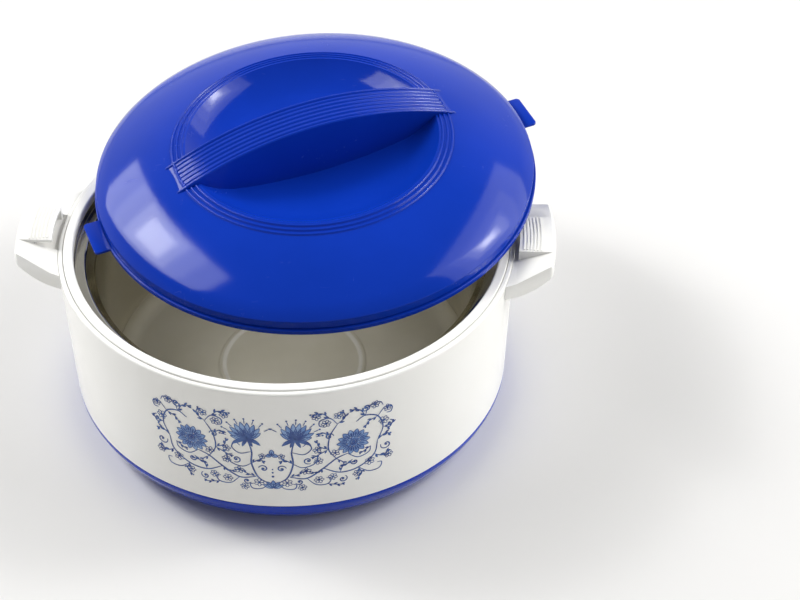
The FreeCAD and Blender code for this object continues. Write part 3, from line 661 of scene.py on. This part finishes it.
foam = Finish("rigid_foam", IOR=1.4)
where = foam.place()
cells = foam.node("ShaderNodeTexVoronoi", {}, Vector=where, Scale=700.0)
tone = foam.noise(where, 60, 3.0)
foam.set(
    Base_Color=foam.mixed(tone, (0.78, 0.68, 0.44, 1), (0.88, 0.80, 0.58, 1)),
    Roughness=0.85 + cells * 0.1,
    Normal=foam.bumped(cells, 0.0004, 0.6),
)
for node in ("body_insulation", "lid_insulation"):
    frame["nodes"][node].data.materials.clear()
    frame["nodes"][node].data.materials.append(foam.material)


# Base cup and its plug.
# Deep blue plastic: an upright band under the seam, a side that curves in, and the ring that
# the pot stands on. The plug closes the hole through which the foam is filled in.


def bowed(start, end, radius, count=16):
    """Points on the arc of a radius from start to end, bulging to the left of the way; below
    zero it bulges to the right."""
    start, end = np.array(start, float), np.array(end, float)
    chord = end - start
    half = np.linalg.norm(chord) / 2
    left = np.array([-chord[1], chord[0]]) / (2 * half) * np.sign(radius)
    depth = math.sqrt(radius * radius - half * half)
    middle = (start + end) / 2 - left * depth
    first, last = start - middle, end - middle
    sweep = 2 * math.asin(half / abs(radius))
    share = np.linspace(0, 1, count)[:, None]
    return middle + (
        np.sin((1 - share) * sweep) * first + np.sin(share * sweep) * last
    ) / math.sin(sweep)


def blue_plastic(name, scuffs):
    """Deep blue gloss plastic: clouds of tone, orange peel, and short hairline scuffs that
    dull the gloss. scuffs sets how much of the surface they take."""
    finish = Finish(name, IOR=1.48, Specular_IOR_Level=0.27)
    point = finish.place()
    cloud = finish.noise(point, 16, 4.0)
    peel = finish.noise(point, 380, 2.0)
    hair_one = finish.noise(finish.stretched(point, 60, 900, 300), 1.0, 2.0)
    hair_two = finish.noise(finish.stretched(point, 800, 90, 300), 1.0, 2.0)
    worn = finish.noise(point, 34, 3.0).ramp(0.52, 0.66)
    scratch = (hair_one.ramp(0.66, 0.72) + hair_two.ramp(0.67, 0.73)) * worn * scuffs
    finish.set(
        Base_Color=finish.mixed(
            cloud.ramp(0.25, 0.75), (0.003, 0.034, 0.38, 1), (0.004, 0.039, 0.44, 1)
        ),
        Roughness=0.07 + cloud * 0.05 + scratch * 0.30,
        Normal=finish.bumped(peel, 0.00003, 0.30),
    )
    return finish


side_bulge = bowed((112.3, 0.0), (wall_foot, 18.3), -40, 24)
base_corners = [
    (8.0, 1.2), (106.3, 1.2), (106.3, 0.0), (112.3, 0.0), *side_bulge[2:], (125.0, 20.4),
    (122.4, 20.4), (122.4, 26.5), (119.9, 26.5), (119.9, 18.3), (109.8, 3.7), (8.0, 3.7),
]
base_radii = [0, 0.3, 0.5, 0.6] + [0] * (len(side_bulge) - 2) + [0.3, 0, 0.3, 0.3, 0, 0, 0]
base_outline = softened(base_corners, base_radii, True)
base_blue = blue_plastic("base_blue", 0.4)
dress(turned("base", base_outline, 360), "pot", "base_cup", base_blue)


def plug_outline(underside, wall):
    """Outline of a push-in plug below a wall: a flat head, and a stem through the hole."""
    face = underside - 0.1
    corners = [(0, face - 1.0), (11.0, face - 1.0), (11.0, face), (7.9, face),
               (7.9, underside + wall), (0, underside + wall)]
    return softened(corners, [0, 0.4, 0, 0, 0.5, 0], False)


plug_blue = blue_plastic("plug_blue", 0.2)
base_recess, base_wall = 1.2, 2.5
foam_plug = turned("foam_plug", plug_outline(base_recess, base_wall), 96)
dress(foam_plug, "pot", "base_plug", plug_blue)


# Side handles.
# White mouldings pressed against the wall. Each has a ribbed pad between two sloping flats,
# and under the pad a slot that is open at one end, where a tab of the lid slides in.


def eased(node, name, width):
    """A copy of a solid whose crisp edges are rounded by width millimetres.

    Its loose triangles are joined, flat neighbours are merged into one face, and a Bevel
    rounds every edge that turns by more than 28 degrees."""
    mesh = frame["nodes"][node].data.copy()
    mesh.name = name
    mesh.materials.clear()
    work = bmesh.new()
    work.from_mesh(mesh)
    bmesh.ops.remove_doubles(work, verts=work.verts, dist=0.00001)
    bmesh.ops.dissolve_limit(
        work, angle_limit=math.radians(0.6), verts=work.verts, edges=work.edges
    )
    for face in work.faces:
        face.smooth = True
    work.to_mesh(mesh)
    work.free()
    piece = bpy.data.objects.new(name, mesh)
    bpy.context.scene.collection.objects.link(piece)
    bevel = piece.modifiers.new("rounded_edges", "BEVEL")
    bevel.width = width * mm
    bevel.segments = 3
    bevel.limit_method = "ANGLE"
    bevel.angle_limit = math.radians(28)
    bevel.harden_normals = True
    return piece


handle_white = white_plastic("handle_white", 30)
for side in ("left", "right"):
    grip = eased(side + "_handle", side + "_grip", 0.35)
    dress(grip, "pot", side + "_handle", handle_white)


# Lid flange.
# A blue ring that lies on the rim when the lid is closed. Two tabs stand out of it and turn
# into the slots of the handles, and a low wall on top keeps the cover in the middle.

lid_joint = next(joint for joint in frame["joints"] if joint["name"] == "lid_twist")
lid_spin = math.radians(24.1)
lid_up = Vector(lid_joint["axis"]).normalized()
lid_tilt = Vector((0, 0, 1)).rotation_difference(lid_up).to_matrix()
lid_turn = np.array(lid_tilt @ Matrix.Rotation(lid_spin, 3, "Z"))
lid_place = np.array(lid_joint["pos_m"]) / mm


def on_lid(points):
    """Points of the level lid moved to where it lies: turned, tilted and set down."""
    return points @ lid_turn.T + lid_place


flange_outline = softened(
    [
        (112.1, 0.0), (126.2, 0.0), (126.2, 3.0), (119.8, 3.0), (119.8, 7.0), (118.0, 7.0),
        (118.0, 3.0), (112.1, 3.0),
    ],
    [0.3, 0.5, 0.6, 0, 0.3, 0.3, 0, 0.3],
    True,
)


def cushion(outline, inner, low, high, edge, steps=4):
    """A flat closed pad from a loop of (x, y) points round the point inner.

    Rings of the loop run from the bottom's middle, out to the side and back to the top's
    middle. Near the edge a ring is drawn in by edge times 1 - cos and raised by edge times
    sin of an angle that goes from 0 to 90 degrees, so the rim is a quarter round."""
    loop = np.array(outline, float)
    inner = np.array(inner, float)
    away = loop - inner
    length = np.linalg.norm(away, axis=1)[:, None]
    angles = np.linspace(0, np.pi / 2, steps + 1)
    insets = np.concatenate([edge * (1 - np.sin(angles)), edge * (1 - np.cos(angles))])
    heights = np.concatenate(
        [low + edge * (1 - np.cos(angles)), high - edge * (1 - np.sin(angles))]
    )
    rings = inner + away[None] * (1 - insets[:, None, None] / length[None])
    count = len(loop)
    level = np.broadcast_to(heights[:, None, None], (len(heights), count, 1))
    points = np.concatenate([rings, level], -1).reshape(-1, 3)
    faces = ring_faces(len(heights), count, False).tolist()
    faces += [list(range(count))[::-1], list(range(len(points) - count, len(points)))]
    return points, faces


def joined(parts):
    """Several meshes as one: the faces' point numbers are moved past the points before."""
    points = np.vstack([part[0] for part in parts])
    starts = np.cumsum([0] + [len(part[0]) for part in parts[:-1]])
    faces = [
        [number + int(start) for number in face]
        for start, part in zip(starts, parts)
        for face in part[1]
    ]
    return points, faces


tab_loop = softened(
    [(124.5, -13.0), (134.4, -13.0), (134.4, 13.0), (124.5, 13.0)], [0, 2.2, 2.2, 0], True
)
tab_right = cushion(tab_loop, (129.0, 0.0), low=1.45, high=3.0, edge=0.4)
tab_left = (tab_right[0] * (-1, -1, 1), tab_right[1])
flange_points, flange_faces = joined([turned_points(flange_outline, 360), tab_right, tab_left])
flange = mesh_piece("flange", on_lid(flange_points), flange_faces)
dress(flange, "lid", "lid_flange", blue_plastic("flange_blue", 0.6))


# Lid liner and its plug.
# The white underside of the lid: a shallow pan whose lip hangs in the ring of the flange. The
# plug closes the hole in its middle.

liner_outline = softened(
    [
        (8.0, -10.8), (70.0, -10.8), (112.0, -2.8), (112.0, 3.1), (117.7, 3.1), (117.7, 4.6),
        (109.6, 4.6), (109.6, -0.4), (70.0, -8.4), (8.0, -8.4),
    ],
    [0, 6.0, 1.0, 0, 0.3, 0.3, 0.3, 1.0, 4.0, 0],
    True,
)
liner_white = white_plastic("liner_white", 12)
liner_points, liner_faces = turned_points(liner_outline, 360)
dress(mesh_piece("liner", on_lid(liner_points), liner_faces), "lid", "lid_liner", liner_white)
liner_underside, liner_wall = -10.8, 2.4
plug_points, plug_faces = turned_points(plug_outline(liner_underside, liner_wall), 96)
lid_foam_plug = mesh_piece("lid_foam_plug", on_lid(plug_points), plug_faces)
dress(lid_foam_plug, "lid", "lid_plug", liner_white)


# Lid seal.
# A flat ring of translucent white silicone, stretched round the liner's side below the
# flange. It lies on the rim when the lid is closed.

seal_outline = softened(
    [(112.3, -1.5), (118.0, -1.5), (118.0, -0.3), (112.3, -0.3)], [0.3, 0.5, 0.5, 0.3], True
)
silicone = Finish("silicone", IOR=1.41)
where = silicone.place()
bloom = silicone.noise(where, 120, 3.0)
silicone.set(
    Base_Color=silicone.mixed(bloom, (0.66, 0.67, 0.66, 1), (0.78, 0.78, 0.76, 1)),
    Roughness=0.42 + bloom * 0.2,
    Normal=silicone.bumped(bloom, 0.00008, 0.4),
)
seal_points, seal_faces = turned_points(seal_outline, 288)
dress(mesh_piece("seal", on_lid(seal_points), seal_faces), "seal", "lid_seal", silicone)


# Lid cover.
# The blue dome, moulded in one piece: a round dish sinks into its top inside three raised
# rings, and a ribbed bar is left standing across the dish to lift and turn the lid by.

ring_radii = (79.15, 76.45, 73.75)
ring_width, ring_rise = 1.6, 0.75
floor_edge, dish_edge, dome_start, dome_end = 52.4, 71.6, 81.0, 117.0
floor_middle, floor_rim, dish_rim, dome_top, dome_foot = 13.6, 19.0, 30.0, 27.8, 14.3
floor_curve, dish_curve, dome_curve = 240, 48, -150


def arc_height(radius, start, end, curve):
    """Height of the arc through two points of a profile at any radius between them."""
    line = bowed(start, end, curve, 60)
    order = np.argsort(line[:, 0])
    return np.interp(radius, line[order, 0], line[order, 1])


def ridge(offset, width, rise):
    """A rounded ridge: rise times the square of a cosine, and 0 beyond half its width."""
    share = np.clip(np.abs(offset) / (width / 2), 0, 1)
    return rise * np.cos(share * np.pi / 2) ** 0.8


def cover_height(radius):
    """Height of the lid's top by radius: dish floor, dish side, shoulder with rings, dome."""
    radius = np.asarray(radius, float)
    floor = arc_height(radius, (floor_edge, floor_rim), (0.0, floor_middle), floor_curve)
    side = arc_height(radius, (dish_edge, dish_rim), (floor_edge, floor_rim), dish_curve)
    slope = (dish_rim - dome_top) / (dome_start - dish_edge)
    shoulder = dome_top + (dome_start - radius) * slope
    dome = arc_height(radius, (dome_end, dome_foot), (dome_start, dome_top), dome_curve)
    height = np.where(radius < floor_edge, floor, side)
    height = np.where(radius > dish_edge, shoulder, height)
    height = np.where(radius > dome_start, dome, height)
    rings = sum(ridge(radius - middle, ring_width, ring_rise) for middle in ring_radii)
    return height + rings


top_radii = np.concatenate(
    [
        np.arange(dome_end, 82.0, -0.8),
        np.arange(82.0, 71.0, -0.12),
        np.arange(71.0, 1.0, -1.0),
        [0.0],
    ]
)
cover_top = np.stack([top_radii, cover_height(top_radii)], -1)
cover_edge = bowed((124.9, 8.3), (dome_end, dome_foot), -31, 16)
cover_side = softened(
    [(0.0, 3.1), (124.1, 3.1), (124.1, 3.6), (124.9, 3.6), (124.9, 8.3), cover_edge[2]],
    [0, 0, 0, 0.3, 0.5, 0],
    False,
)
cover_outline = np.vstack([cover_side, cover_edge[3:-1], cover_top])
cover_points, cover_faces = turned_points(cover_outline, 480)

bar_half, bar_reach, crown = 11.8, 84.5, 45.4
bar_rise = crown - dome_top
arch = (dome_start**2 + bar_rise**2) / (2 * bar_rise)
inner_ribs = np.linspace(-8.1, 8.1, 6)
edge_ribs = np.array([-10.85, 10.85])


def slab(across, along, top, bottom):
    """A closed block over a grid of x and y, between a top and a bottom height at each point.

    Both grids are the same, and a wall of quads joins their edges all round."""
    rows, columns = across.shape
    upper = np.stack([across, along, top], -1).reshape(-1, 3)
    lower = np.stack([across, along, bottom], -1).reshape(-1, 3)
    row, column = np.meshgrid(np.arange(rows - 1), np.arange(columns - 1), indexing="ij")
    here = row * columns + column
    quads = np.stack([here, here + columns, here + columns + 1, here + 1], -1).reshape(-1, 4)
    shift = rows * columns
    edge = np.concatenate(
        [
            np.arange(columns - 1),
            np.arange(columns - 1, shift - 1, columns),
            np.arange(shift - 1, shift - columns, -1),
            np.arange(shift - columns, 0, -columns),
        ]
    )
    after = np.roll(edge, -1)
    walls = np.stack([edge, after, after + shift, edge + shift], -1)
    faces = np.vstack([quads, quads[:, ::-1] + shift, walls])
    return np.vstack([upper, lower]), faces.tolist()


bar_x = np.concatenate(
    [
        np.arange(-bar_reach, -70, 0.3),
        np.arange(-70, 70, 1.5),
        np.arange(70, bar_reach + 0.01, 0.3),
    ]
)
bar_y = np.linspace(-bar_half, bar_half, 237)
grid_x, grid_y = np.meshgrid(bar_x, bar_y, indexing="ij")
from_axis = np.hypot(grid_x, grid_y)
arch_height = crown - arch + np.sqrt(arch**2 - grid_x**2)
dome_height = cover_height(np.minimum(from_axis, 116))
bar_base = np.maximum(arch_height, dome_height - 0.35)
inner_end = 1 - np.clip((from_axis - 78.2) / 0.7, 0, 1)
edge_end = 1 - np.clip((np.abs(grid_x) - 82.6) / 1.5, 0, 1)
rib_height = sum(ridge(grid_y - middle, 2.3, 0.7) for middle in inner_ribs) * inner_end
edge_height = sum(ridge(grid_y - middle, 2.2, 0.95) for middle in edge_ribs) * edge_end
crossing = ridge(from_axis - ring_radii[0], ring_width, ring_rise)
bar_top = bar_base + np.maximum.reduce([rib_height, edge_height, crossing])
bar_bottom = np.minimum(dome_height - 1.4, bar_top - 0.3)
bar_points, bar_faces = slab(grid_x, grid_y, bar_top, bar_bottom)

cover_blue = blue_plastic("cover_blue", 1.0)
cover = mesh_piece("cover", on_lid(cover_points), cover_faces)
dress(cover, "lid", "lid_cover", cover_blue)
bar = mesh_piece("grip_bar", on_lid(bar_points), bar_faces)
dress(bar, "lid", "lid_cover", cover_blue)


# Stage: a pale matt table top that goes on behind the pot.

floor_mesh = bpy.data.meshes.new("table_top")
reach = 6.0
floor_mesh.from_pydata(
    [(-reach, -reach, 0), (reach, -reach, 0), (reach, reach, 0), (-reach, reach, 0)],
    [],
    [(0, 1, 2, 3)],
)
table = bpy.data.objects.new("table_top", floor_mesh)
bpy.context.scene.collection.objects.link(table)
paper = Finish("pale_paper", Roughness=0.6)
grain = paper.noise(paper.place(), 8, 2.0)
paper.set(Base_Color=paper.mixed(grain, (0.75, 0.742, 0.722, 1), (0.775, 0.768, 0.750, 1)))
table.data.materials.append(paper.material)


# Light: two soft boxes above and behind the pot, one at each side, each brightest round its
# bulb, a weak lamp for the light that the polished bowl gathers, and a bright room.


def soft_box(name, bearing, height_angle, roll, width, height, radiance):
    """A rectangular lamp that looks at the pot from 2.4 m away, from a bearing and a height in
    degrees, and turned by roll about its own axis. A lamp's power is its radiance times its
    area times pi."""
    data = bpy.data.lights.new(name, "AREA")
    data.shape = "RECTANGLE"
    data.size, data.size_y = width, height
    data.energy = radiance * width * height * math.pi
    bearing, height_angle, roll = (math.radians(angle) for angle in (bearing, height_angle, roll))
    away = Vector(
        (
            math.cos(height_angle) * math.cos(bearing),
            math.cos(height_angle) * math.sin(bearing),
            math.sin(height_angle),
        )
    )
    flat = Vector((0, 0, 1)).cross(away).normalized()
    steep = away.cross(flat)
    side = flat * math.cos(roll) + steep * math.sin(roll)
    top = steep * math.cos(roll) - flat * math.sin(roll)
    lamp = bpy.data.objects.new(name, data)
    turn = Matrix((side, top, away)).transposed().to_4x4()
    pot_middle, distance = Vector((0, 0, 0.12)), 2.4
    lamp.matrix_world = Matrix.Translation(pot_middle + away * distance) @ turn
    bpy.context.scene.collection.objects.link(lamp)


soft_box("left_box", 161.0, 40.4, 44.4, 2.43, 0.91, 5.0)
soft_box("left_haze", 160.5, 41.5, 44.4, 1.50, 0.80, 2.0)
soft_box("left_glow", 160.0, 42.6, 44.4, 0.85, 0.62, 4.0)
soft_box("left_bulb", 160.0, 43.0, 44.4, 0.50, 0.38, 9.0)
soft_box("left_core", 160.0, 43.0, 44.4, 0.28, 0.22, 16.0)
soft_box("right_box", 11.4, 31.5, -27.1, 2.33, 2.35, 2.1)
soft_box("right_haze", 12.5, 37.0, -27.1, 1.50, 1.40, 1.0)
soft_box("right_glow", 13.0, 40.0, -27.1, 0.90, 0.85, 3.0)
soft_box("right_bulb", 13.0, 41.0, -27.1, 0.50, 0.52, 7.0)
soft_box("right_core", 13.0, 41.4, -27.1, 0.28, 0.30, 14.0)

below_lid = bpy.data.lights.new("bowl_fill", "AREA")
below_lid.shape = "DISK"
below_lid.size = 0.13
below_lid.energy = 0.034
bowl_fill = bpy.data.objects.new("bowl_fill", below_lid)
bowl_fill.location = (0.0, 0.01, 0.086)
bowl_fill.visible_glossy = False
bpy.context.scene.collection.objects.link(bowl_fill)

world = bpy.data.worlds.new("bright_room")
bpy.context.scene.world = world
world.use_nodes = True
sky = world.node_tree.nodes
towards = sky.new("ShaderNodeTexCoord")
parts = sky.new("ShaderNodeSeparateXYZ")
shift = sky.new("ShaderNodeMath")
shift.operation = "MULTIPLY_ADD"
shift.inputs[1].default_value = -0.28  # the room is darker in front of the pot
fade = sky.new("ShaderNodeValToRGB")
fade.color_ramp.elements[0].position = 0.10
fade.color_ramp.elements[0].color = (0.74, 0.75, 0.77, 1)
fade.color_ramp.elements[1].position = 0.65
fade.color_ramp.elements[1].color = (0.14, 0.14, 0.15, 1)
for source, target in (
    (towards.outputs["Generated"], parts.inputs[0]),
    (parts.outputs["Y"], shift.inputs[0]),
    (parts.outputs["Z"], shift.inputs[2]),
    (shift.outputs[0], fade.inputs[0]),
    (fade.outputs["Color"], sky["Background"].inputs["Color"]),
):
    world.node_tree.links.new(source, target)
bpy.context.scene.view_settings.view_transform = "Standard"


# Camera: above the front of the pot, looking down at it.

camera_place = Vector((0.0806, -0.7669, 0.7294))
yaw, pitch, roll = -0.0227, 0.7170, 0.0100
ahead = Vector(
    (math.sin(yaw) * math.cos(pitch), math.cos(yaw) * math.cos(pitch), -math.sin(pitch))
)
level = ahead.cross(Vector((0, 0, 1))).normalized()
upright = level.cross(ahead)
right = level * math.cos(roll) + upright * math.sin(roll)
above = upright * math.cos(roll) - level * math.sin(roll)
camera_data = bpy.data.cameras.new("camera")
camera_data.sensor_width = 36.0
camera_data.lens = 79.82
camera = bpy.data.objects.new("camera", camera_data)
turn = Matrix((right, above, -ahead)).transposed().to_4x4()
camera.matrix_world = Matrix.Translation(camera_place) @ turn
bpy.context.scene.collection.objects.link(camera)
bpy.context.scene.camera = camera
